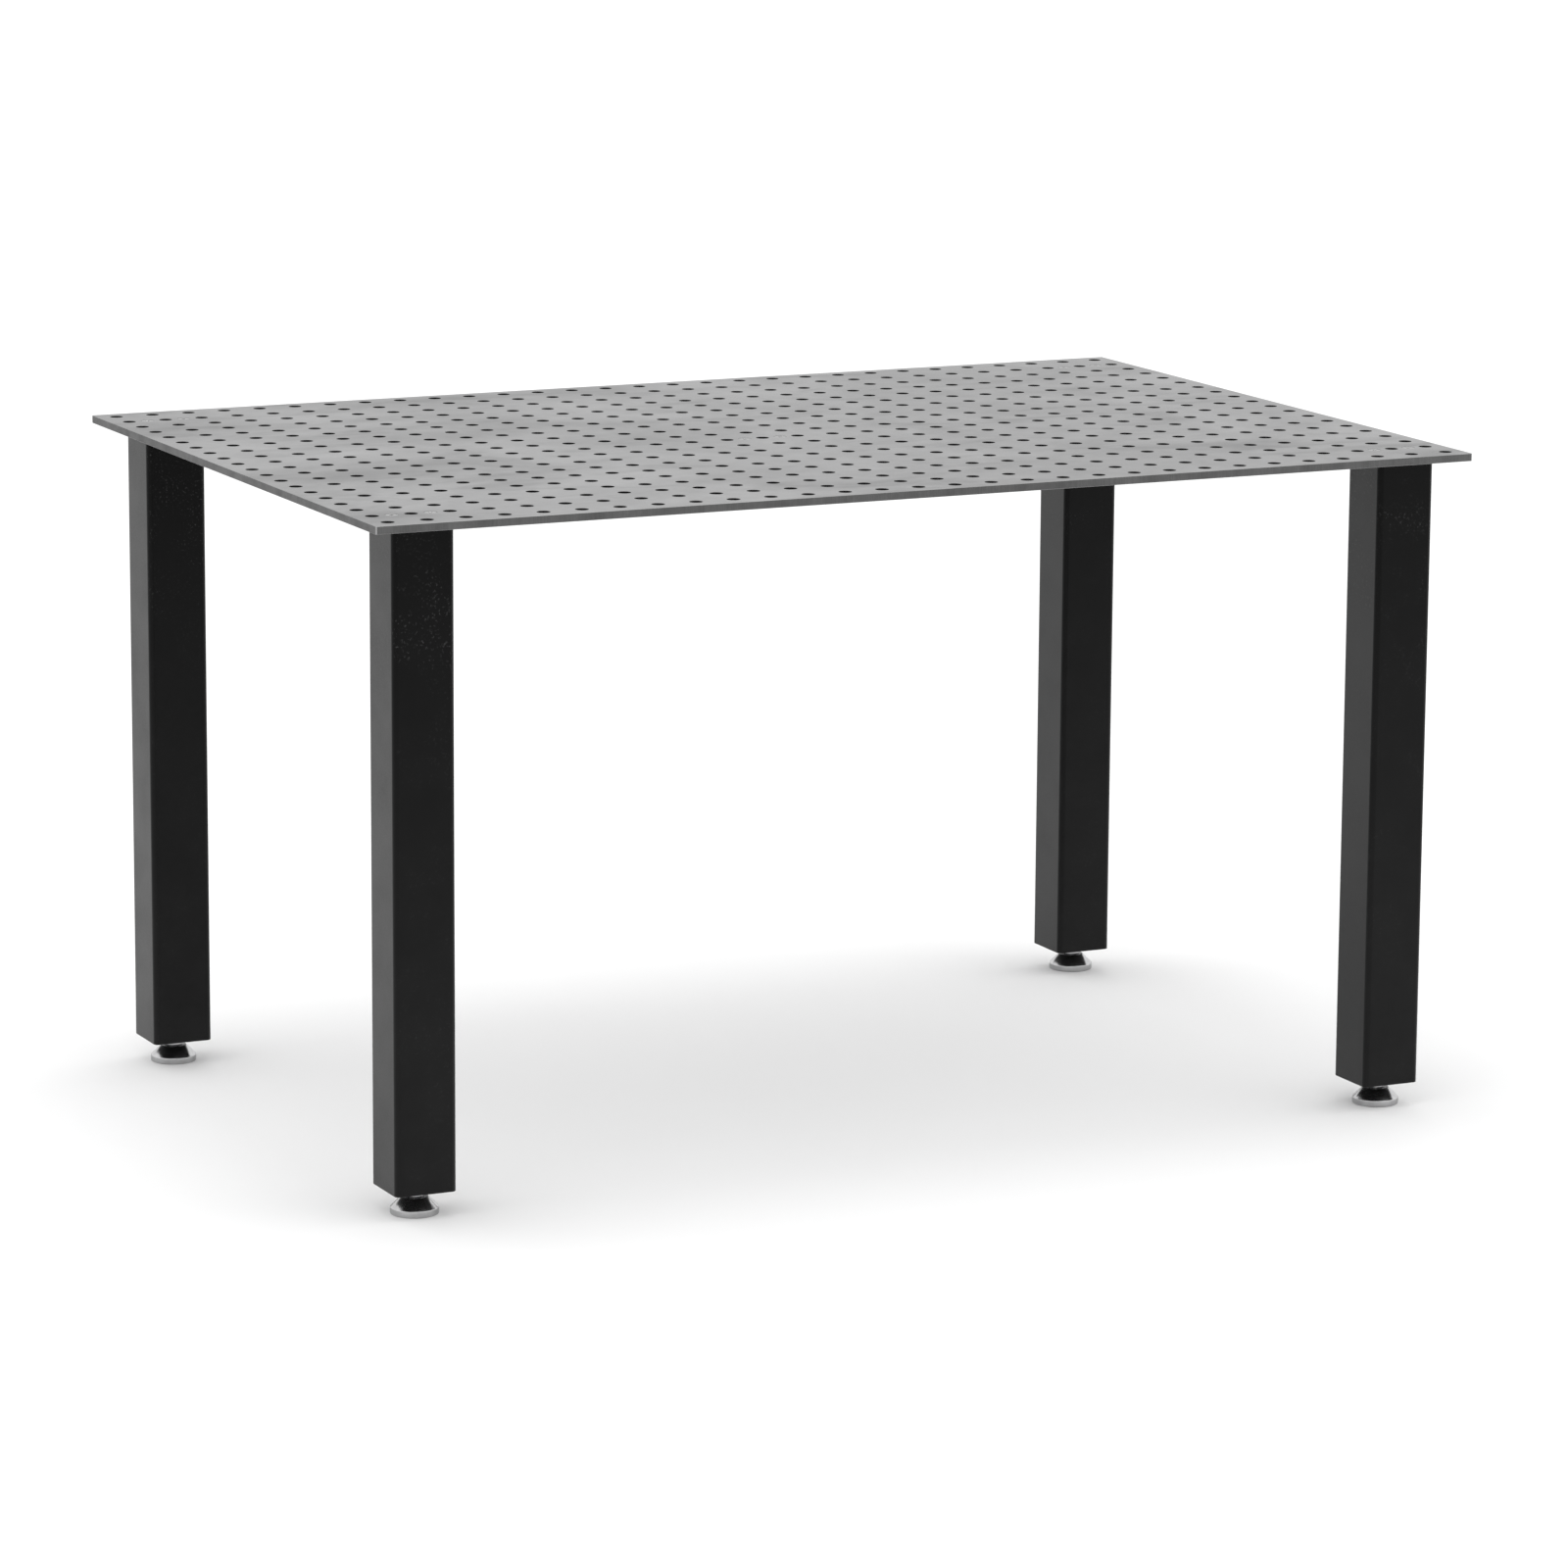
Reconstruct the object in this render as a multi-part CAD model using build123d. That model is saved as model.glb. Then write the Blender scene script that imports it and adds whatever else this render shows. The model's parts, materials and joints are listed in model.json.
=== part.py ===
from build123d import *
import os

# A welding table: a thick steel plate with a square grid of fixture holes, held by countersunk
# screws on four square tube legs, each standing on a levelling foot that screws into the leg.
# Millimetres. The origin is on the floor under the middle of the plate, +X runs along the long
# side, +Y towards the rear and +Z up.

# Work plate
TOP_LENGTH = 1500.0
TOP_DEPTH = 1000.0
TOP_THICKNESS = 10.0
TABLE_HEIGHT = 860.0
GRID_PITCH = 50.0
GRID_HOLE_DIAMETER = 16.0
GRID_COLUMNS = int(TOP_LENGTH / GRID_PITCH)
GRID_ROWS = int(TOP_DEPTH / GRID_PITCH)
PLATE_UNDERSIDE = TABLE_HEIGHT - TOP_THICKNESS

# Legs: rounded square tube, centred under the second grid hole from each edge
LEG_SIZE = 80.0
LEG_WALL = 3.0
LEG_CORNER_RADIUS = 7.0
LEG_UNDERSIDE = 32.0
LEG_LENGTH = PLATE_UNDERSIDE - LEG_UNDERSIDE
LEG_X = TOP_LENGTH / 2 - 1.5 * GRID_PITCH
LEG_Y = TOP_DEPTH / 2 - 1.5 * GRID_PITCH
BORE_SIZE = LEG_SIZE - 2 * LEG_WALL
BORE_CORNER_RADIUS = LEG_CORNER_RADIUS - LEG_WALL
LEG_PLACES = {
    "front_left": (-LEG_X, -LEG_Y),
    "front_right": (LEG_X, -LEG_Y),
    "rear_left": (-LEG_X, LEG_Y),
    "rear_right": (LEG_X, LEG_Y),
}

# Plates welded into the ends of each leg, and the loose clamping plate in the middle
TOP_PLATE_THICKNESS = 10.0
BASE_PLATE_THICKNESS = 8.0
BASE_PLATE_HOLE_RADIUS = 8.6
CENTRE_PLACE = (-GRID_PITCH / 2, -GRID_PITCH / 2)

# Countersunk M8 screws, two for each plate, one on each side of a grid hole
SCREW_SPACING = 50.0
SCREW_RADIUS = 4.0
SCREW_LENGTH = 20.0
SCREW_HEAD_RADIUS = 8.0
SCREW_TIP_CHAMFER = 0.6
SCREW_SOCKET_FLATS = 5.0
SCREW_SOCKET_DEPTH = 3.5
COUNTERSINK_RADIUS = 8.2
SCREW_HOLE_RADIUS = 4.5
SEAT_GAP = 0.05
TAPPED_RADIUS = SCREW_RADIUS + 0.05
SCREW_TOP = TABLE_HEIGHT - (COUNTERSINK_RADIUS - SCREW_HEAD_RADIUS) + SEAT_GAP

# Levelling foot: a turned base, and an M16 spindle with a spanner hex that turns in it
FOOT_RADIUS = 30.0
FOOT_RIM_HEIGHT = 8.5
FOOT_EDGE = 0.8
FOOT_NECK_RADIUS = 17.0
FOOT_HEIGHT = FOOT_RIM_HEIGHT + FOOT_RADIUS - FOOT_NECK_RADIUS
SPINDLE_RADIUS = 8.0
SPINDLE_TOP = 100.0
SPINDLE_CHAMFER = 1.2
SPINDLE_CLEARANCE = 0.05
SPINDLE_HEX_FLATS = 24.0
SPINDLE_HEX_HEIGHT = 8.0
HEX_GAP = 1.0
SOCKET_FLOOR = 5.0
SOCKET_GAP = 0.1
NUT_FLATS = 24.0
NUT_HEIGHT = 13.0

# Wire ring that keeps the base on its spindle
RING_HEIGHT = 14.0
RING_THICKNESS = 1.6
RING_INNER_RADIUS = 7.2
RING_OUTER_RADIUS = 8.8
RING_OPENING = 2.0
GROOVE_CLEARANCE = 0.2


def cylinder(radius, low, high):
    """A cylinder about the Z axis between two heights."""
    return Pos(0, 0, low) * extrude(Circle(radius), high - low)


def hexagon(flats, low, high):
    """A hexagonal prism about the Z axis, given by its width across the flats."""
    return Pos(0, 0, low) * extrude(RegularPolygon(flats / 2, 6, major_radius=False), high - low)


def screw_offsets():
    """The two screws of one plate, from that plate's centre."""
    return [(-SCREW_SPACING / 2, 0), (SCREW_SPACING / 2, 0)]


def screw_places():
    """Every screw in the work plate."""
    plates = list(LEG_PLACES.values()) + [CENTRE_PLACE]
    return [(px + dx, py + dy) for px, py in plates for dx, dy in screw_offsets()]


def table_top():
    """The work plate, with its grid of holes and a countersunk hole for every screw."""
    grid = GridLocations(GRID_PITCH, GRID_PITCH, GRID_COLUMNS, GRID_ROWS)
    holes = [place * Wire.make_circle(GRID_HOLE_DIAMETER / 2) for place in grid]
    outline = Face(Wire.make_rect(TOP_LENGTH, TOP_DEPTH), holes)
    plate = Pos(0, 0, PLATE_UNDERSIDE) * extrude(outline, TOP_THICKNESS, dir=(0, 0, 1))
    sink = COUNTERSINK_RADIUS - SCREW_HOLE_RADIUS
    cone = Pos(0, 0, TABLE_HEIGHT - sink / 2) * Cone(SCREW_HOLE_RADIUS, COUNTERSINK_RADIUS, sink)
    cutter = cone + cylinder(SCREW_HOLE_RADIUS, PLATE_UNDERSIDE, TABLE_HEIGHT)
    for x, y in screw_places():
        plate -= Pos(x, y, 0) * cutter
    return plate


def clamping_plate():
    """A plate under the work plate with two tapped holes for its screws."""
    low = PLATE_UNDERSIDE - TOP_PLATE_THICKNESS
    outline = RectangleRounded(BORE_SIZE, BORE_SIZE, BORE_CORNER_RADIUS)
    plate = Pos(0, 0, low) * extrude(outline, TOP_PLATE_THICKNESS)
    for x, y in screw_offsets():
        plate -= Pos(x, y, 0) * cylinder(TAPPED_RADIUS, low, PLATE_UNDERSIDE)
    return plate


def screw():
    """A countersunk socket screw, with its head just under the plate's surface."""
    tip = SCREW_TOP - SCREW_LENGTH
    shoulder = SCREW_TOP - (SCREW_HEAD_RADIUS - SCREW_RADIUS)
    outline = Polyline(
        (0, tip),
        (SCREW_RADIUS - SCREW_TIP_CHAMFER, tip),
        (SCREW_RADIUS, tip + SCREW_TIP_CHAMFER),
        (SCREW_RADIUS, shoulder),
        (SCREW_HEAD_RADIUS, SCREW_TOP),
        (0, SCREW_TOP),
        close=True,
    )
    body = revolve(Plane.XZ * make_face(outline), Axis.Z)
    return body - hexagon(SCREW_SOCKET_FLATS, SCREW_TOP - SCREW_SOCKET_DEPTH, SCREW_TOP)


def screw_pair():
    """The two screws that hold one plate."""
    return [Pos(x, y, 0) * screw() for x, y in screw_offsets()]


def leg_tube():
    """A length of rounded square tube."""
    outside = RectangleRounded(LEG_SIZE, LEG_SIZE, LEG_CORNER_RADIUS)
    inside = RectangleRounded(BORE_SIZE, BORE_SIZE, BORE_CORNER_RADIUS)
    return Pos(0, 0, LEG_UNDERSIDE) * extrude(outside - inside, LEG_LENGTH)


def base_plate():
    """The plate that closes the leg's lower end, with a hole for the spindle."""
    top = LEG_UNDERSIDE + BASE_PLATE_THICKNESS
    outline = RectangleRounded(BORE_SIZE, BORE_SIZE, BORE_CORNER_RADIUS)
    plate = Pos(0, 0, LEG_UNDERSIDE) * extrude(outline, BASE_PLATE_THICKNESS)
    return plate - cylinder(BASE_PLATE_HOLE_RADIUS, LEG_UNDERSIDE, top)


def spindle_nut():
    """The nut welded on the base plate, inside the leg."""
    low = LEG_UNDERSIDE + BASE_PLATE_THICKNESS
    high = low + NUT_HEIGHT
    return hexagon(NUT_FLATS, low, high) - cylinder(SPINDLE_RADIUS + SPINDLE_CLEARANCE, low, high)


def foot():
    """The turned base: a plain rim, a cone, and a socket with a groove for the ring."""
    outline = Polyline(
        (0, 0),
        (FOOT_RADIUS - FOOT_EDGE, 0),
        (FOOT_RADIUS, FOOT_EDGE),
        (FOOT_RADIUS, FOOT_RIM_HEIGHT),
        (FOOT_NECK_RADIUS, FOOT_HEIGHT),
        (0, FOOT_HEIGHT),
        close=True,
    )
    body = revolve(Plane.XZ * make_face(outline), Axis.Z)
    body -= cylinder(SPINDLE_RADIUS + SPINDLE_CLEARANCE, SOCKET_FLOOR, FOOT_HEIGHT)
    half = RING_THICKNESS / 2 + GROOVE_CLEARANCE
    groove_radius = RING_OUTER_RADIUS + GROOVE_CLEARANCE
    return body - cylinder(groove_radius, RING_HEIGHT - half, RING_HEIGHT + half)


def spindle():
    """The M16 spindle, drawn at its outside diameter, with its hex and the groove for the ring."""
    low = SOCKET_FLOOR + SOCKET_GAP
    hex_low = FOOT_HEIGHT + HEX_GAP
    half = RING_THICKNESS / 2 + 2 * GROOVE_CLEARANCE
    groove_radius = RING_INNER_RADIUS - GROOVE_CLEARANCE
    outline = Polyline(
        (0, low),
        (SPINDLE_RADIUS - SPINDLE_CHAMFER, low),
        (SPINDLE_RADIUS, low + SPINDLE_CHAMFER),
        (SPINDLE_RADIUS, RING_HEIGHT - half),
        (groove_radius, RING_HEIGHT - half),
        (groove_radius, RING_HEIGHT + half),
        (SPINDLE_RADIUS, RING_HEIGHT + half),
        (SPINDLE_RADIUS, SPINDLE_TOP - SPINDLE_CHAMFER),
        (SPINDLE_RADIUS - SPINDLE_CHAMFER, SPINDLE_TOP),
        (0, SPINDLE_TOP),
        close=True,
    )
    stem = revolve(Plane.XZ * make_face(outline), Axis.Z)
    return stem + hexagon(SPINDLE_HEX_FLATS, hex_low, hex_low + SPINDLE_HEX_HEIGHT)


def retaining_ring():
    """A split ring, half in the base's groove and half in the spindle's."""
    low = RING_HEIGHT - RING_THICKNESS / 2
    high = RING_HEIGHT + RING_THICKNESS / 2
    ring = cylinder(RING_OUTER_RADIUS, low, high) - cylinder(RING_INNER_RADIUS, low, high)
    opening = Pos(RING_OUTER_RADIUS, 0, RING_HEIGHT)
    return ring - opening * Box(RING_OUTER_RADIUS, RING_OPENING, 2 * RING_THICKNESS)


def write(node, *solids):
    """Write one node's solids to its own file."""
    shape = solids[0] if len(solids) == 1 else Compound(children=list(solids))
    export_step(shape, f"parts/{node}.step")


os.makedirs("parts", exist_ok=True)
write("table_top", table_top())
centre = Pos(*CENTRE_PLACE, 0)
write("centre_plate", centre * clamping_plate())
write("centre_screws", *[centre * one for one in screw_pair()])
for name, (leg_x, leg_y) in LEG_PLACES.items():
    place = Pos(leg_x, leg_y, 0)
    write(f"{name}_leg_tube", place * leg_tube())
    write(f"{name}_top_plate", place * clamping_plate())
    write(f"{name}_screws", *[place * one for one in screw_pair()])
    write(f"{name}_base_plate", place * base_plate())
    write(f"{name}_spindle_nut", place * spindle_nut())
    write(f"{name}_spindle", place * spindle())
    write(f"{name}_retaining_ring", place * retaining_ring())
    write(f"{name}_foot", place * foot())
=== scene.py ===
import bmesh
import bpy
import json
import math
from mathutils import Matrix, Vector
from mathutils.geometry import delaunay_2d_cdt

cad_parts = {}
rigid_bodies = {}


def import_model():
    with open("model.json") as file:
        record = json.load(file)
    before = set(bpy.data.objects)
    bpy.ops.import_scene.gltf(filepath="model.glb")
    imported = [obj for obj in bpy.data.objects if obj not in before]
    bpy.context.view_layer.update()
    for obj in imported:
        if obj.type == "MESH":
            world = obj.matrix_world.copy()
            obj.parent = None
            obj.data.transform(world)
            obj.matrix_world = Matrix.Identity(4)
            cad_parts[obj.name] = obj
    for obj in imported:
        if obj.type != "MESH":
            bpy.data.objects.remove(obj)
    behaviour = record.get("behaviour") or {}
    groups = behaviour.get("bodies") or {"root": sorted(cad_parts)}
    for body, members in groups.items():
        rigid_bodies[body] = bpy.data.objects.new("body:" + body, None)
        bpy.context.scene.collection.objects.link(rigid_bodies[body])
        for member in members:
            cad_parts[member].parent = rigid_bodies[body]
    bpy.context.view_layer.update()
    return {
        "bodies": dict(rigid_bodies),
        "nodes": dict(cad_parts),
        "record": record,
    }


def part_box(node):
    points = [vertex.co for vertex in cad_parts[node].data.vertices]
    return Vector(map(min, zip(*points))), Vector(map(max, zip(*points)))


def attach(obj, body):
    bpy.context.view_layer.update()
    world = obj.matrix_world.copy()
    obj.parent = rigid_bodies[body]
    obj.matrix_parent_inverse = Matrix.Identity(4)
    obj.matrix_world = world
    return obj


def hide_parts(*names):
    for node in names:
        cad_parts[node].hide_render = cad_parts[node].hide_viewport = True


# A welding table: a drilled steel plate on four powder-coated legs with turned steel feet.
# Metres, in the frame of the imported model: the floor is z = 0 and +Y is the table's rear.

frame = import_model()
record = frame["record"]

MM = 0.001
LEG_NAMES = ("front_left", "front_right", "rear_left", "rear_right")

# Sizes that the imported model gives
PLATE_LOW, PLATE_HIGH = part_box("table_top")
MOUNTS = {mount["name"]: mount for mount in record["mounts"]}
CELL = MOUNTS["grid_cell_holes"]["dims"]
GRID_PITCH = CELL["spacing_x_mm"] * MM
HOLE_RADIUS = CELL["hole_r_mm"] * MM
COLUMNS = round((PLATE_HIGH.x - PLATE_LOW.x) / GRID_PITCH)
ROWS = round((PLATE_HIGH.y - PLATE_LOW.y) / GRID_PITCH)
SCREW_PLATES = [f"{name}_screws" for name in LEG_NAMES] + ["centre_screws"]


# ---------------------------------------------------------------- mesh helpers

def piece(name, bm, materials, body, slot, *nodes, sharp=30):
    """A finished piece from a bmesh: smooth but for its sharp edges, riding on a CAD body."""
    bmesh.ops.recalc_face_normals(bm, faces=bm.faces)
    mesh = bpy.data.meshes.new(name)
    bm.to_mesh(mesh)
    bm.free()
    mesh.polygons.foreach_set("use_smooth", [True] * len(mesh.polygons))
    mesh.set_sharp_from_angle(angle=math.radians(sharp))
    for material in materials:
        mesh.materials.append(material)
    obj = bpy.data.objects.new(name, mesh)
    bpy.context.scene.collection.objects.link(obj)
    weighted = obj.modifiers.new("even_shading", "WEIGHTED_NORMAL")
    weighted.keep_sharp = True
    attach(obj, body)
    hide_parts(*nodes)
    return obj


def bridge(bm, low, high, material=0):
    """Faces between two closed rings of as many vertices each."""
    count = len(low)
    faces = []
    for i in range(count):
        j = (i + 1) % count
        face = bm.faces.new((low[i], low[j], high[j], high[i]))
        face.material_index = material
        faces.append(face)
    return faces


def rings(bm, loops, closed=False, capped=True, materials=()):
    """Skin a stack of rings. Closed joins the last to the first; capped fills both ends."""
    made = [[bm.verts.new(point) for point in loop] for loop in loops]
    for k, (low, high) in enumerate(zip(made, made[1:])):
        bridge(bm, low, high, materials[k] if materials else 0)
    if closed:
        bridge(bm, made[-1], made[0])
    elif capped:
        for loop, k in ((made[0], 0), (made[-1], -1)):
            face = bm.faces.new(loop)
            face.material_index = materials[k] if materials else 0


def circle(centre, radius, z, steps):
    """Points round a vertical axis. The radius is a number or a function of the angle."""
    out = []
    for i in range(steps):
        angle = math.tau * i / steps
        r = radius(angle) if callable(radius) else radius
        out.append((centre.x + r * math.cos(angle), centre.y + r * math.sin(angle), z))
    return out


def rounded_rectangle(low, high, corner, inset, z, steps):
    """Points round a box's outline with rounded corners, moved in by an inset."""
    out = []
    middle = (low + high) / 2
    reach_x = (high.x - low.x) / 2 - corner
    reach_y = (high.y - low.y) / 2 - corner
    for quarter, (sx, sy) in enumerate(((1, 1), (-1, 1), (-1, -1), (1, -1))):
        for i in range(steps + 1):
            angle = math.pi / 2 * (quarter + i / steps)
            x = middle.x + sx * reach_x + (corner - inset) * math.cos(angle)
            y = middle.y + sy * reach_y + (corner - inset) * math.sin(angle)
            out.append((x, y, z))
    return out


def hexagon_radius(flats):
    """The radius of a hexagon at an angle, for its width across the flats."""
    return lambda angle: flats / 2 / math.cos((angle + math.pi / 6) % (math.pi / 3) - math.pi / 6)


HOLE_STEPS = 24
CORNER_STEPS = 4
FILL_INSIDE = 1  # the triangulation's mode that keeps faces within the outline
SAME_POINT = 1e-7


def pierced_face(bm, outline, holes, z):
    """A flat face with round holes of (x, y, radius).

    Returns the vertices of its edge, and a list of those of each hole.
    """
    points = list(outline)
    edges = [(i, (i + 1) % len(outline)) for i in range(len(outline))]
    for x, y, r in holes:
        first = len(points)
        points += circle(Vector((x, y)), r, z, HOLE_STEPS)
        edges += [(first + i, first + (i + 1) % HOLE_STEPS) for i in range(HOLE_STEPS)]
    flat = [Vector(point[:2]) for point in points]
    faces = delaunay_2d_cdt(flat, edges, [], FILL_INSIDE, SAME_POINT)[2]
    verts = [bm.verts.new(point) for point in points]
    rim = len(outline)
    for face in faces:
        owners = {(i - rim) // HOLE_STEPS for i in face}
        if len(owners) > 1 or min(face) < rim:
            bm.faces.new([verts[i] for i in face])
    loops = [verts[rim + k * HOLE_STEPS:rim + (k + 1) * HOLE_STEPS] for k in range(len(holes))]
    return verts[:rim], loops


def slab(bm, low, high, corner, chamfer, holes, side=0, wall=0):
    """A flat plate with chamfered edges, a material for its sides and one for its holes' walls.

    A hole is (x, y, profile), and its profile is (radius, z) points from the top down. The round
    corners keep the first material.
    """
    levels = ((chamfer, high.z), (0, high.z - chamfer), (0, low.z + chamfer), (chamfer, low.z))
    loops = [rounded_rectangle(low, high, corner, inset, z, CORNER_STEPS) for inset, z in levels]
    upper = [(x, y, profile[0][0]) for x, y, profile in holes]
    lower = [(x, y, profile[-1][0]) for x, y, profile in holes]
    edge_top, holes_top = pierced_face(bm, loops[0], upper, high.z)
    edge_low, holes_low = pierced_face(bm, loops[3], lower, low.z)
    side_top, side_low = ([bm.verts.new(point) for point in loop] for loop in loops[1:3])
    bridge(bm, edge_top, side_top)
    for i, face in enumerate(bridge(bm, side_top, side_low)):
        in_corner = i % (CORNER_STEPS + 1) < CORNER_STEPS
        face.material_index = 0 if in_corner else side
    bridge(bm, side_low, edge_low)
    for (x, y, profile), rim_top, rim_low in zip(holes, holes_top, holes_low):
        rows = [rim_top]
        for radius, z in profile[1:-1]:
            rows.append([bm.verts.new(point) for point in circle(Vector((x, y)), radius, z, HOLE_STEPS)])
        rows.append(rim_low)
        for above, below in zip(rows, rows[1:]):
            bridge(bm, above, below, wall)


def plain_hole(radius, chamfer, top, bottom):
    """The profile of a straight hole with a chamfer at each end."""
    wide = radius + chamfer
    return [(wide, top), (radius, top - chamfer), (radius, bottom + chamfer), (wide, bottom)]


# ---------------------------------------------------------------- materials

class Shader:
    """A Principled material and short names for the nodes that drive it."""

    def __init__(self, name, **values):
        self.material = bpy.data.materials.new(name)
        self.material.use_nodes = True
        self.tree = self.material.node_tree
        self.shader = self.tree.nodes["Principled BSDF"]
        for key, value in values.items():
            self.shader.inputs[key.replace("_", " ")].default_value = value
        self.place = self.tree.nodes.new("ShaderNodeTexCoord").outputs["Object"]

    def link(self, output, node, key):
        self.tree.links.new(output, node.inputs[key])

    def scaled(self, x, y, z):
        """Object coordinates, stretched."""
        node = self.tree.nodes.new("ShaderNodeMapping")
        node.inputs["Scale"].default_value = (x, y, z)
        self.link(self.place, node, "Vector")
        return node.outputs["Vector"]

    def noise(self, scale, detail=4.0, roughness=0.55, distortion=0.0, at=None):
        node = self.tree.nodes.new("ShaderNodeTexNoise")
        node.inputs["Scale"].default_value = scale
        node.inputs["Detail"].default_value = detail
        node.inputs["Roughness"].default_value = roughness
        node.inputs["Distortion"].default_value = distortion
        self.link(at or self.place, node, "Vector")
        return node.outputs["Fac"]

    def spread(self, value, low, high, to_low, to_high):
        """Map a range of values on to another, held at its ends."""
        node = self.tree.nodes.new("ShaderNodeMapRange")
        node.inputs["From Min"].default_value = low
        node.inputs["From Max"].default_value = high
        node.inputs["To Min"].default_value = to_low
        node.inputs["To Max"].default_value = to_high
        self.link(value, node, "Value")
        return node.outputs["Result"]

    def maths(self, operation, a, b):
        node = self.tree.nodes.new("ShaderNodeMath")
        node.operation = operation
        for i, value in enumerate((a, b)):
            if isinstance(value, (int, float)):
                node.inputs[i].default_value = value
            else:
                self.link(value, node, i)
        return node.outputs[0]

    def grey(self, value, tint=(1.0, 1.0, 1.0)):
        """A colour of that brightness, with a slight tint."""
        node = self.tree.nodes.new("ShaderNodeVectorMath")
        node.operation = "SCALE"
        node.inputs[0].default_value = tint
        self.link(value, node, "Scale")
        return node.outputs["Vector"]

    def drive(self, key, output):
        self.link(output, self.shader, key)

    def bump(self, *layers):
        """Bump layers as (height, distance in metres, strength), one on another."""
        normal = None
        for height, distance, strength in layers:
            node = self.tree.nodes.new("ShaderNodeBump")
            node.inputs["Distance"].default_value = distance
            node.inputs["Strength"].default_value = strength
            self.link(height, node, "Height")
            if normal:
                self.link(normal, node, "Normal")
            normal = node.outputs["Normal"]
        self.drive("Normal", normal)


def plate_steel():
    """Bare rolled plate: dull grey, with clouds of scale, rolling streaks and a few dark smears."""
    s = Shader("work_plate_steel", Metallic=1.0)
    s.shader.inputs["Specular Tint"].default_value = (0.68, 0.68, 0.68, 1.0)
    clouds = s.noise(4.5, detail=5.0, roughness=0.55, distortion=0.5)
    mottle = s.noise(38.0, detail=5.0, roughness=0.65)
    streaks = s.noise(1.0, detail=5.0, at=s.scaled(3.0, 150.0, 40.0))
    smear = s.noise(1.0, detail=4.0, distortion=1.4, at=s.scaled(3.4, 8.0, 3.0))
    tone = s.spread(clouds, 0.3, 0.7, 0.288, 0.37)
    tone = s.maths("MULTIPLY", tone, s.spread(mottle, 0.25, 0.75, 0.93, 1.07))
    tone = s.maths("MULTIPLY", tone, s.spread(streaks, 0.3, 0.7, 0.965, 1.035))
    tone = s.maths("MULTIPLY", tone, s.spread(smear, 0.52, 0.68, 1.0, 0.84))
    s.drive("Base Color", s.grey(tone, (1.0, 1.0, 1.005)))
    rough = s.spread(clouds, 0.3, 0.7, 0.5, 0.42)
    rough = s.maths("ADD", rough, s.spread(streaks, 0.3, 0.7, -0.03, 0.03))
    rough = s.maths("ADD", rough, s.spread(smear, 0.52, 0.68, 0.0, 0.06))
    s.drive("Roughness", rough)
    grain = s.noise(900.0, detail=2.0)
    s.bump((grain, 0.00004, 0.5), (mottle, 0.00012, 0.3), (streaks, 0.00005, 0.3))
    return s.material


def cut_steel(name, dark, light, shine):
    """A cut face of the plate: darkened by heat, with fine upright drag lines. Its near-black copy on
    the holes' walls and the screw sockets is painted shade.

    Its tone runs from dark to light, and shine is its specular level.
    """
    s = Shader(name, Metallic=0.0)
    s.shader.inputs["Specular IOR Level"].default_value = shine
    lines = s.noise(1.0, detail=3.0, at=s.scaled(900.0, 900.0, 30.0))
    cloud = s.noise(35.0, detail=4.0)
    tone = s.spread(cloud, 0.3, 0.7, dark, light)
    tone = s.maths("MULTIPLY", tone, s.spread(lines, 0.3, 0.7, 0.85, 1.15))
    s.drive("Base Color", s.grey(tone))
    s.drive("Roughness", s.spread(cloud, 0.3, 0.7, 0.6, 0.48))
    s.bump((lines, 0.00008, 0.4),)
    return s.material


def powder_coat():
    """Satin black powder coat with orange peel, dust specks near the top and a painted sheen that greys
    it towards the foot.
    """
    s = Shader("black_powder_coat", Metallic=0.0)
    s.shader.inputs["Specular IOR Level"].default_value = 0.38
    s.shader.inputs["Specular Tint"].default_value = (0.22, 0.22, 0.22, 1.0)
    peel = s.noise(620.0, detail=2.0, roughness=0.5)
    wave = s.noise(90.0, detail=2.0)
    dust = s.noise(330.0, detail=2.0, roughness=0.6)
    patch = s.noise(14.0, detail=4.0)
    height = s.tree.nodes.new("ShaderNodeSeparateXYZ")
    s.link(s.place, height, "Vector")
    dusty = s.spread(height.outputs["Z"], 0.55, 0.84, 0.15, 1.0)
    dusty = s.maths("MULTIPLY", dusty, s.spread(patch, 0.44, 0.62, 0.0, 1.0))
    specks = s.maths("MULTIPLY", s.spread(dust, 0.6, 0.72, 0.0, 0.05), dusty)
    # Painted light: the coat is greyer low down and blacker high up, a painted sheen standing in for the
    # reflection on the lower legs.
    painted_sheen_by_height = s.spread(height.outputs["Z"], 0.05, 0.8, 0.009, 0.0012)
    tone = s.maths("ADD", s.maths("MULTIPLY", painted_sheen_by_height, s.spread(patch, 0.3, 0.7, 0.85, 1.15)), specks)
    s.drive("Base Color", s.grey(tone, (1.0, 1.0, 1.01)))
    rough = s.spread(patch, 0.3, 0.7, 0.3, 0.38)
    s.drive("Roughness", s.maths("ADD", rough, s.spread(peel, 0.3, 0.7, -0.03, 0.03)))
    s.bump((peel, 0.00005, 0.35), (wave, 0.0001, 0.12))
    return s.material


def turned_steel():
    """Turned steel with the fine rings left by the tool."""
    s = Shader("polished_steel", Metallic=1.0)
    s.shader.inputs["Specular Tint"].default_value = (0.8, 0.8, 0.8, 1.0)
    tool_rings = s.noise(1.0, detail=3.0, at=s.scaled(30.0, 30.0, 2600.0))
    cloud = s.noise(70.0, detail=3.0)
    s.drive("Base Color", s.grey(s.spread(cloud, 0.3, 0.7, 0.4, 0.5), (1.0, 1.0, 1.01)))
    rough = s.spread(cloud, 0.3, 0.7, 0.15, 0.22)
    s.drive("Roughness", s.maths("ADD", rough, s.spread(tool_rings, 0.3, 0.7, -0.03, 0.05)))
    s.bump((tool_rings, 0.00003, 0.3),)
    return s.material


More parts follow.
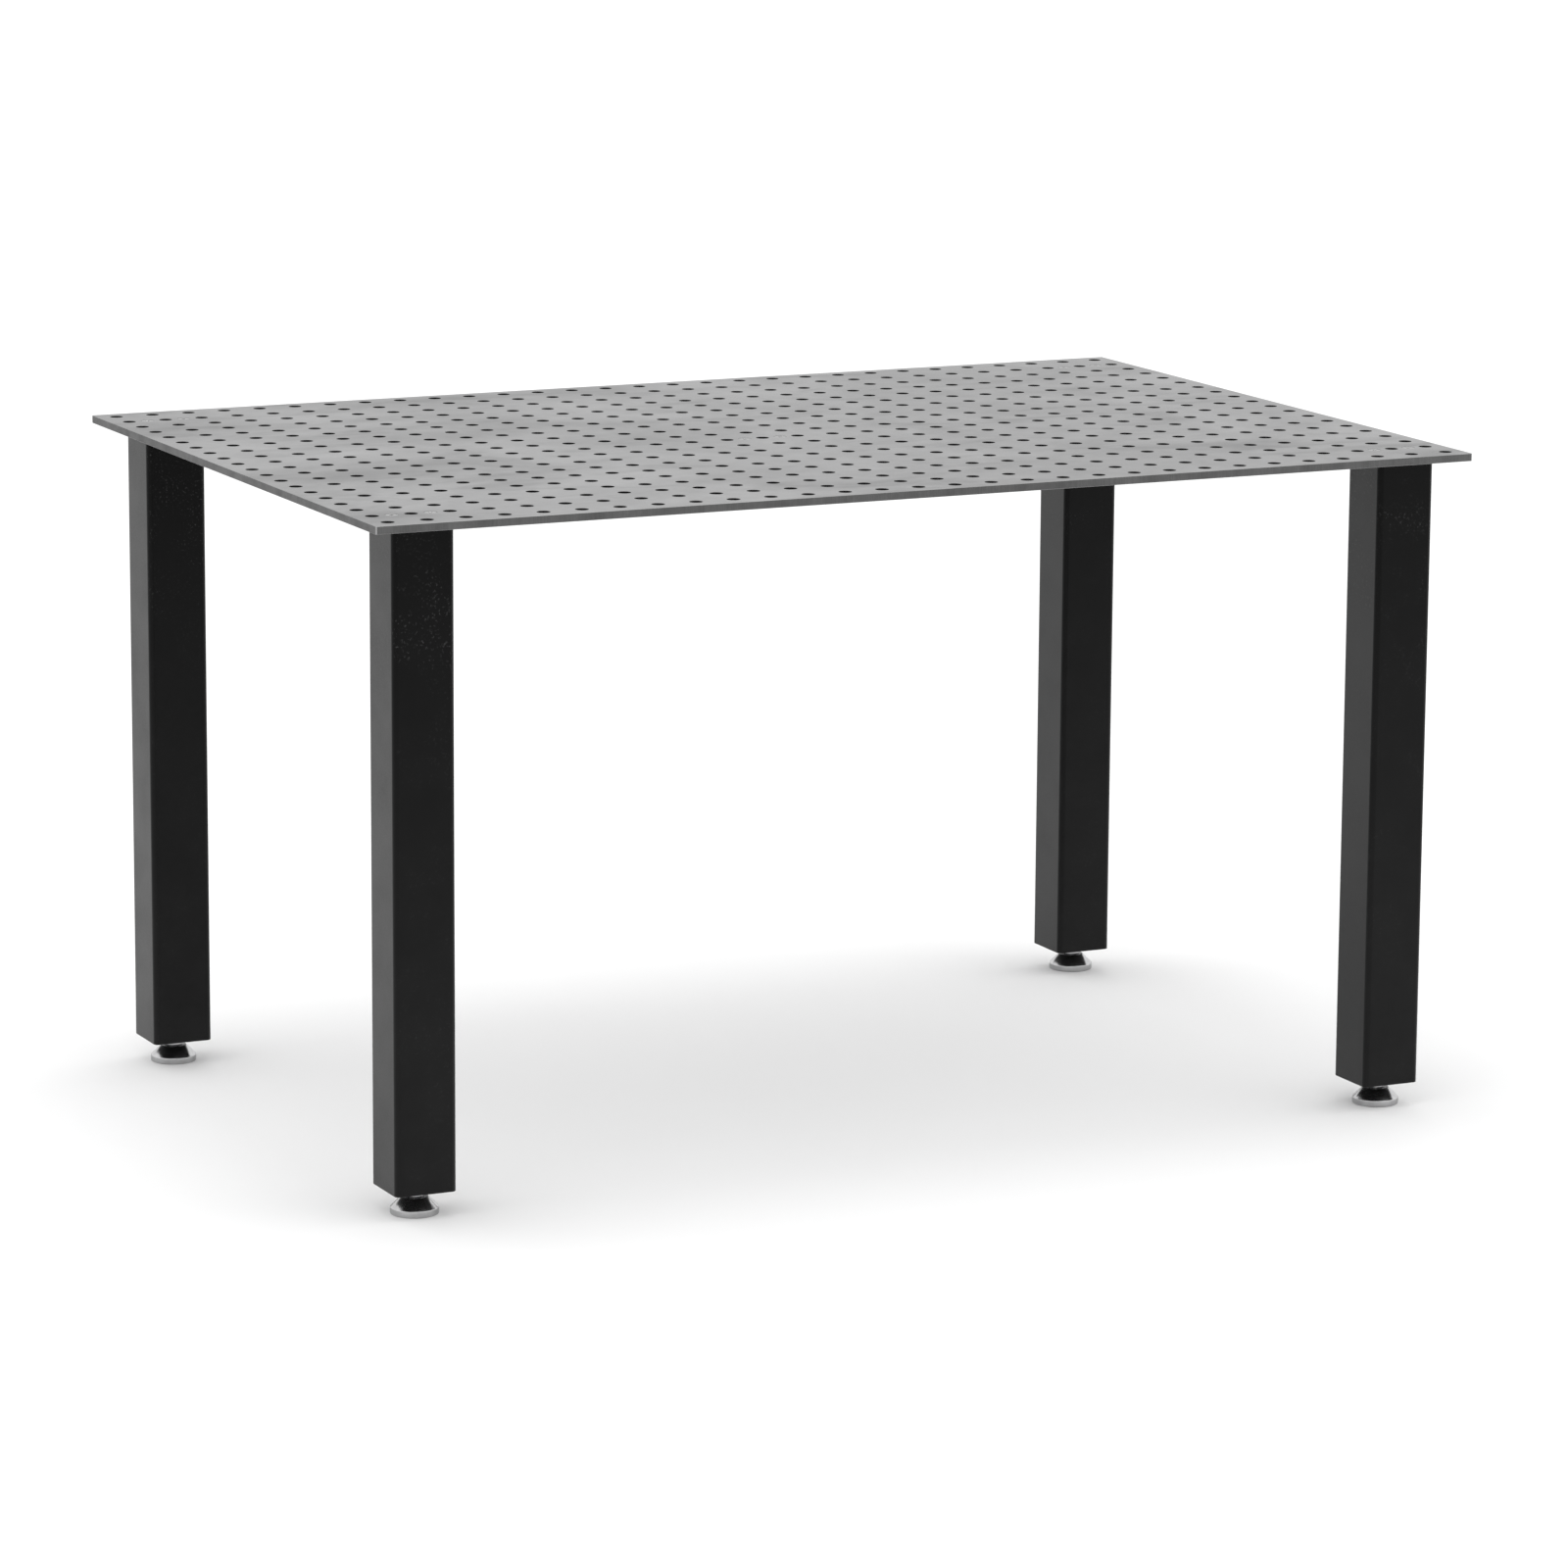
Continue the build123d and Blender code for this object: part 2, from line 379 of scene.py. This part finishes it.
def zinc_steel():
    """Zinc-plated screw steel."""
    s = Shader("screw_steel", Metallic=1.0)
    s.shader.inputs["Specular Tint"].default_value = (0.7, 0.7, 0.7, 1.0)
    cloud = s.noise(400.0, detail=4.0)
    s.drive("Base Color", s.grey(s.spread(cloud, 0.3, 0.7, 0.32, 0.42)))
    s.drive("Roughness", s.spread(cloud, 0.3, 0.7, 0.24, 0.38))
    s.bump((cloud, 0.00003, 0.4),)
    return s.material


def floor_white():
    """Plain pale studio floor."""
    s = Shader("studio_floor", Roughness=0.9)
    s.shader.inputs["Specular IOR Level"].default_value = 0.0
    cloud = s.noise(0.6, detail=2.0)
    s.drive("Base Color", s.grey(s.spread(cloud, 0.3, 0.7, 0.855, 0.865)))
    return s.material


STEEL = plate_steel()
CUT_SIDE = cut_steel("plate_side_cut", 0.06, 0.085, 0.3)
# Painted shade: the holes' walls and the screw sockets get a near-black copy of the cut steel, for the
# dark inside them.
HOLE_PAINTED_SHADE = cut_steel("plate_hole_painted_shade", 0.006, 0.01, 0.06)
BLACK = powder_coat()
TURNED = turned_steel()
ZINC = zinc_steel()
SIDE, SHADED_WALL = 1, 2  # where the cut side's material and the holes' painted-shade material stand in the plate's list


# ---------------------------------------------------------------- work plate

HOLE_CHAMFER = 0.5 * MM
EDGE_CHAMFER = 0.5 * MM
PLATE_CORNER = 1.5 * MM
SCREW_HOLE_RADIUS = 4.5 * MM
COUNTERSINK_RADIUS = 8.2 * MM


def screw_pair(node):
    """Where a node's two screws stand, one at each end of its box."""
    low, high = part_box(node)
    radius = (high.y - low.y) / 2
    y = (low.y + high.y) / 2
    return [Vector((low.x + radius, y, high.z)), Vector((high.x - radius, y, high.z))]


def work_plate():
    """The drilled plate, with a countersunk hole for every screw."""
    top, bottom = PLATE_HIGH.z, PLATE_LOW.z
    plain = plain_hole(HOLE_RADIUS, HOLE_CHAMFER, top, bottom)
    sink = top - (COUNTERSINK_RADIUS - SCREW_HOLE_RADIUS)
    sunk = [(COUNTERSINK_RADIUS, top), (SCREW_HOLE_RADIUS, sink), (SCREW_HOLE_RADIUS, bottom)]
    holes = []
    for i in range(COLUMNS):
        for j in range(ROWS):
            x = PLATE_LOW.x + (i + 0.5) * GRID_PITCH
            y = PLATE_LOW.y + (j + 0.5) * GRID_PITCH
            holes.append((x, y, plain))
    for node in SCREW_PLATES:
        holes += [(place.x, place.y, sunk) for place in screw_pair(node)]
    bm = bmesh.new()
    slab(bm, PLATE_LOW, PLATE_HIGH, PLATE_CORNER, EDGE_CHAMFER, holes, side=SIDE, wall=SHADED_WALL)
    piece("work_plate", bm, (STEEL, CUT_SIDE, HOLE_PAINTED_SHADE), "table", "work_plate_steel", "table_top")


work_plate()


# ---------------------------------------------------------------- screws

HEAD_RADIUS = 7.95 * MM
SHANK_RADIUS = 4.0 * MM
SOCKET_FLATS = 5.0 * MM
SOCKET_MOUTH = 0.35 * MM
SOCKET_DEPTH = 3.0 * MM
DRILL_DEPTH = 3.9 * MM
DRILL_RADIUS = 0.3 * MM
TIP_CHAMFER = 0.6 * MM
SCREW_STEPS = 48
SCREW_TURN = 0.37  # radians from each screw's socket to the next one's
SOCKET_PAINTED_SHADE = 1  # where the socket's painted-shade material stands in a screw's list


def screw(bm, place, tip, turn):
    """A countersunk socket screw: a hexagon socket, a flat rim, a cone and a shank."""
    hexagon = hexagon_radius(SOCKET_FLATS)

    def socket(angle):
        return hexagon(angle + turn)

    def mouth(angle):
        return socket(angle) + SOCKET_MOUTH

    top = place.z
    cone_end = top - (HEAD_RADIUS - SHANK_RADIUS) - 0.2 * MM
    profile = (
        (DRILL_RADIUS, top - DRILL_DEPTH),
        (socket, top - SOCKET_DEPTH),
        (socket, top - 0.3 * MM),
        (mouth, top),
        (HEAD_RADIUS - 0.2 * MM, top),
        (HEAD_RADIUS, top - 0.12 * MM),
        (HEAD_RADIUS - 0.1 * MM, top - 0.35 * MM),
        (SHANK_RADIUS, cone_end),
        (SHANK_RADIUS, tip + TIP_CHAMFER),
        (SHANK_RADIUS - TIP_CHAMFER, tip),
    )
    # Painted shade: the socket's walls and drill point take the near-black hole material.
    materials = [SOCKET_PAINTED_SHADE, SOCKET_PAINTED_SHADE] + [0] * (len(profile) - 3)
    rings(bm, [circle(place, r, z, SCREW_STEPS) for r, z in profile], materials=materials)


def screws():
    """Each plate's two screws in one piece. No two sockets are turned the same way."""
    turn = 0.0
    for node in SCREW_PLATES:
        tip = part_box(node)[0].z
        bm = bmesh.new()
        for place in screw_pair(node):
            turn += SCREW_TURN
            screw(bm, place, tip, turn)
        piece(f"{node}_turned", bm, (ZINC, HOLE_PAINTED_SHADE), "table", "screw_steel", node)


screws()


# ---------------------------------------------------------------- legs and their plates

TUBE_WALL = 3.0 * MM
TUBE_CORNER = 7.0 * MM
TUBE_EDGE = 0.35 * MM
TUBE_STEPS = 10
BORE_CORNER = TUBE_CORNER - TUBE_WALL
PLATE_EDGE = 0.8 * MM
PLATE_HOLE_CHAMFER = 0.3 * MM
CENTRE_PLATE_CORNER = 1.0 * MM
SPINDLE_HOLE_RADIUS = 8.6 * MM
TAPPED_RADIUS = 4.0 * MM


def leg(name):
    """A square tube with round corners and softened ends."""
    low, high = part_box(f"{name}_leg_tube")
    stack = [
        (TUBE_EDGE, low.z),
        (0.0, low.z + TUBE_EDGE),
        (0.0, high.z - TUBE_EDGE),
        (TUBE_EDGE, high.z),
        (TUBE_WALL, high.z),
        (TUBE_WALL, low.z),
    ]
    loops = [rounded_rectangle(low, high, TUBE_CORNER, inset, z, TUBE_STEPS) for inset, z in stack]
    bm = bmesh.new()
    rings(bm, loops, closed=True)
    piece(f"{name}_leg", bm, (BLACK,), "table", "black_powder_coat", f"{name}_leg_tube")


def welded_plate(node, corner, radius, places):
    """A chamfered plate with straight holes, in the place of a CAD node."""
    low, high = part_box(node)
    profile = plain_hole(radius, PLATE_HOLE_CHAMFER, high.z, low.z)
    bm = bmesh.new()
    slab(bm, low, high, corner, PLATE_EDGE, [(place.x, place.y, profile) for place in places])
    piece(f"{node}_chamfered", bm, (BLACK,), "table", "black_powder_coat", node)


for leg_name in LEG_NAMES:
    leg(leg_name)
    base_plate = f"{leg_name}_base_plate"
    middle = sum(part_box(base_plate), Vector()) / 2
    welded_plate(base_plate, BORE_CORNER, SPINDLE_HOLE_RADIUS, [middle])
    top_plate = f"{leg_name}_top_plate"
    welded_plate(top_plate, BORE_CORNER, TAPPED_RADIUS, screw_pair(f"{leg_name}_screws"))
welded_plate("centre_plate", CENTRE_PLATE_CORNER, TAPPED_RADIUS, screw_pair("centre_screws"))


# ---------------------------------------------------------------- feet

FOOT_STEPS = 128
NECK_RADIUS = 17.0 * MM
RIM_HEIGHT = 8.5 * MM
BORE_RADIUS = 8.1 * MM
BORE_FLOOR = 6.0 * MM
BORE_CHAMFER = 0.6 * MM


def foot(name):
    """The turned base of a levelling foot: rim, cone and flat neck with its socket."""
    low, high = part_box(f"{name}_foot")
    centre = (low + high) / 2
    radius = (high.x - low.x) / 2
    profile = (
        (radius - 3.0 * MM, low.z + 0.15 * MM),
        (radius - 1.4 * MM, low.z),
        (radius - 0.9 * MM, low.z + 0.05 * MM),
        (radius - 0.3 * MM, low.z + 0.4 * MM),
        (radius, low.z + 1.1 * MM),
        (radius, RIM_HEIGHT - 0.8 * MM),
        (radius - 0.12 * MM, RIM_HEIGHT - 0.3 * MM),
        (radius - 0.45 * MM, RIM_HEIGHT + 0.2 * MM),
        (NECK_RADIUS + 0.5 * MM, high.z - 0.65 * MM),
        (NECK_RADIUS + 0.05 * MM, high.z - 0.25 * MM),
        (NECK_RADIUS - 0.5 * MM, high.z),
        (BORE_RADIUS + BORE_CHAMFER, high.z),
        (BORE_RADIUS, high.z - BORE_CHAMFER),
        (BORE_RADIUS, low.z + BORE_FLOOR),
    )
    bm = bmesh.new()
    rings(bm, [circle(centre, r, z, FOOT_STEPS) for r, z in profile])
    body = f"{name}_foot_body"
    piece(f"{name}_foot_turned", bm, (TURNED,), body, "polished_steel", f"{name}_foot")


THREAD_MAJOR = 8.0 * MM
THREAD_MINOR = 6.8 * MM
THREAD_PITCH = 2.0 * MM
THREAD_ROWS = 7  # rings of vertices to each turn
FLANK_SLOPE = 2.6
CREST_WIDTH = 0.25
SPINDLE_CHAMFER = 0.5 * MM
SPINDLE_END = 1.0 * MM
HEX_FLATS = 24.0 * MM
HEX_HEIGHT = 8.0 * MM
HEX_ABOVE_FOOT = 1.0 * MM
HEX_CHAMFER_ANGLE = math.radians(30)
HEX_CHAMFER_STEPS = (0.0, 0.3 * MM, 0.6 * MM, 0.95 * MM)
SPINDLE_STEPS = 72


def unit(value):
    """The value, held between 0 and 1."""
    return min(1.0, max(0.0, value))


def spindle(name):
    """The threaded spindle, with its spanner hexagon."""
    low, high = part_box(f"{name}_spindle")
    centre = (low + high) / 2
    hex_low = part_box(f"{name}_foot")[1].z + HEX_ABOVE_FOOT
    hex_high = hex_low + HEX_HEIGHT
    hexagon = hexagon_radius(HEX_FLATS)

    def thread(z):
        """The thread's radius round one height, fading out at both ends."""
        fade = min(unit((high.z - z) / THREAD_PITCH), unit((z - hex_high) / THREAD_PITCH))
        end = SPINDLE_CHAMFER * max(0.0, 1.0 - (high.z - z) / THREAD_PITCH)

        def radius(angle):
            phase = (z / THREAD_PITCH - angle / math.tau) % 1.0
            depth = unit(abs(phase - 0.5) * FLANK_SLOPE - CREST_WIDTH)
            return THREAD_MAJOR - (THREAD_MAJOR - THREAD_MINOR) * depth * fade - end

        return radius

    def chamfered(step):
        """The hexagon's radius a step below its face, with its corners turned off."""
        limit = HEX_FLATS / 2 + step / math.tan(HEX_CHAMFER_ANGLE)
        return lambda angle: min(hexagon(angle), limit)

    profile = [
        (THREAD_MAJOR - SPINDLE_END, low.z),
        (THREAD_MAJOR, low.z + SPINDLE_END),
        (THREAD_MAJOR, hex_low),
    ]
    profile += [(chamfered(step), hex_low + step) for step in HEX_CHAMFER_STEPS]
    profile += [(chamfered(step), hex_high - step) for step in reversed(HEX_CHAMFER_STEPS)]
    profile += [(THREAD_MAJOR, hex_high)]
    length = high.z - hex_high
    rows = round(length / THREAD_PITCH * THREAD_ROWS)
    for k in range(1, rows + 1):
        z = hex_high + length * k / rows
        profile.append((thread(z), z))
    bm = bmesh.new()
    rings(bm, [circle(centre, r, z, SPINDLE_STEPS) for r, z in profile])
    new_name, body = f"{name}_spindle_threaded", f"{name}_spindle_body"
    piece(new_name, bm, (TURNED,), body, "polished_steel", f"{name}_spindle", sharp=40)


for leg_name in LEG_NAMES:
    foot(leg_name)
    spindle(leg_name)


# ---------------------------------------------------------------- carried-over CAD nodes

CARRIED = {
    "polished_steel": TURNED,
    "black_powder_coat": BLACK,
    "screw_steel": ZINC,
    "work_plate_steel": STEEL,
}
for part in record["subparts"]:
    node = frame["nodes"][part["node"]]
    for material_slot in node.material_slots:
        material_slot.material = CARRIED[part["material_slot"]]


# ---------------------------------------------------------------- floor, lights and camera

def level_with_feet(floor):
    """The floor lies under whichever foot is screwed out the furthest."""
    group = bpy.data.node_groups.new("floor_level", "GeometryNodeTree")
    for way in ("INPUT", "OUTPUT"):
        group.interface.new_socket("Geometry", in_out=way, socket_type="NodeSocketGeometry")
    nodes, links = group.nodes, group.links
    shift = nodes.new("ShaderNodeCombineXYZ")
    move = nodes.new("GeometryNodeTransform")
    lowest = None
    for name in LEG_NAMES:
        foot_body = nodes.new("GeometryNodeObjectInfo")
        foot_body.inputs["Object"].default_value = frame["bodies"][f"{name}_foot_body"]
        split = nodes.new("ShaderNodeSeparateXYZ")
        links.new(foot_body.outputs["Location"], split.inputs["Vector"])
        if lowest:
            least = nodes.new("ShaderNodeMath")
            least.operation = "MINIMUM"
            links.new(lowest, least.inputs[0])
            links.new(split.outputs["Z"], least.inputs[1])
        lowest = least.outputs[0] if lowest else split.outputs["Z"]
    links.new(lowest, shift.inputs["Z"])
    links.new(shift.outputs["Vector"], move.inputs["Translation"])
    links.new(nodes.new("NodeGroupInput").outputs["Geometry"], move.inputs["Geometry"])
    links.new(move.outputs["Geometry"], nodes.new("NodeGroupOutput").inputs["Geometry"])
    floor.modifiers.new("floor_level", "NODES").node_group = group


def studio_floor():
    """A wide white floor."""
    bm = bmesh.new()
    bmesh.ops.create_circle(bm, cap_ends=True, segments=96, radius=80.0)
    mesh = bpy.data.meshes.new("studio_floor")
    bm.to_mesh(mesh)
    bm.free()
    mesh.materials.append(floor_white())
    obj = bpy.data.objects.new("studio_floor", mesh)
    bpy.context.scene.collection.objects.link(obj)
    level_with_feet(obj)


def sky(strength):
    """An even white surround."""
    world = bpy.data.worlds.new("studio")
    bpy.context.scene.world = world
    world.use_nodes = True
    background = world.node_tree.nodes["Background"]
    background.inputs["Color"].default_value = (1.0, 1.0, 1.0, 1.0)
    background.inputs["Strength"].default_value = strength


def softbox(name, place, target, size, watts):
    """A square area light aimed at a point."""
    data = bpy.data.lights.new(name, "AREA")
    data.shape = "RECTANGLE"
    data.size, data.size_y = size
    data.energy = watts
    obj = bpy.data.objects.new(name, data)
    obj.location = place
    obj.rotation_euler = (Vector(target) - Vector(place)).to_track_quat("-Z", "Y").to_euler()
    bpy.context.scene.collection.objects.link(obj)


CAMERA_FROM_TOP = Vector((-3.5405, -7.4904, 1.2082))
CAMERA_AZIMUTH, CAMERA_PITCH, CAMERA_ROLL = 25.429, 11.392, 0.377  # degrees
CAMERA_LENS = 148.56  # millimetres


def camera():
    """The camera, by its place from the middle of the plate and the way it looks."""
    azimuth, pitch, roll = (math.radians(a) for a in (CAMERA_AZIMUTH, CAMERA_PITCH, CAMERA_ROLL))
    ahead = Vector((math.sin(azimuth), math.cos(azimuth), 0))
    forward = math.cos(pitch) * ahead - math.sin(pitch) * Vector((0, 0, 1))
    level = Vector((math.cos(azimuth), -math.sin(azimuth), 0))
    upright = level.cross(forward)
    right = math.cos(roll) * level + math.sin(roll) * upright
    up = math.cos(roll) * upright - math.sin(roll) * level
    data = bpy.data.cameras.new("camera")
    data.lens = CAMERA_LENS
    data.sensor_width = 36.0
    data.clip_end = 200.0
    obj = bpy.data.objects.new("camera", data)
    turn = Matrix((right, up, -forward)).transposed().to_4x4()
    obj.matrix_world = Matrix.Translation(CAMERA_FROM_TOP + Vector((0, 0, PLATE_HIGH.z))) @ turn
    bpy.context.scene.collection.objects.link(obj)
    bpy.context.scene.camera = obj


studio_floor()
sky(1.34)
softbox("overhead", (-0.1, 0.0, 5.0), (-0.1, 0.0, 0.0), (1.6, 1.6), 35.0)
camera()
bpy.context.scene.view_settings.view_transform = "Standard"
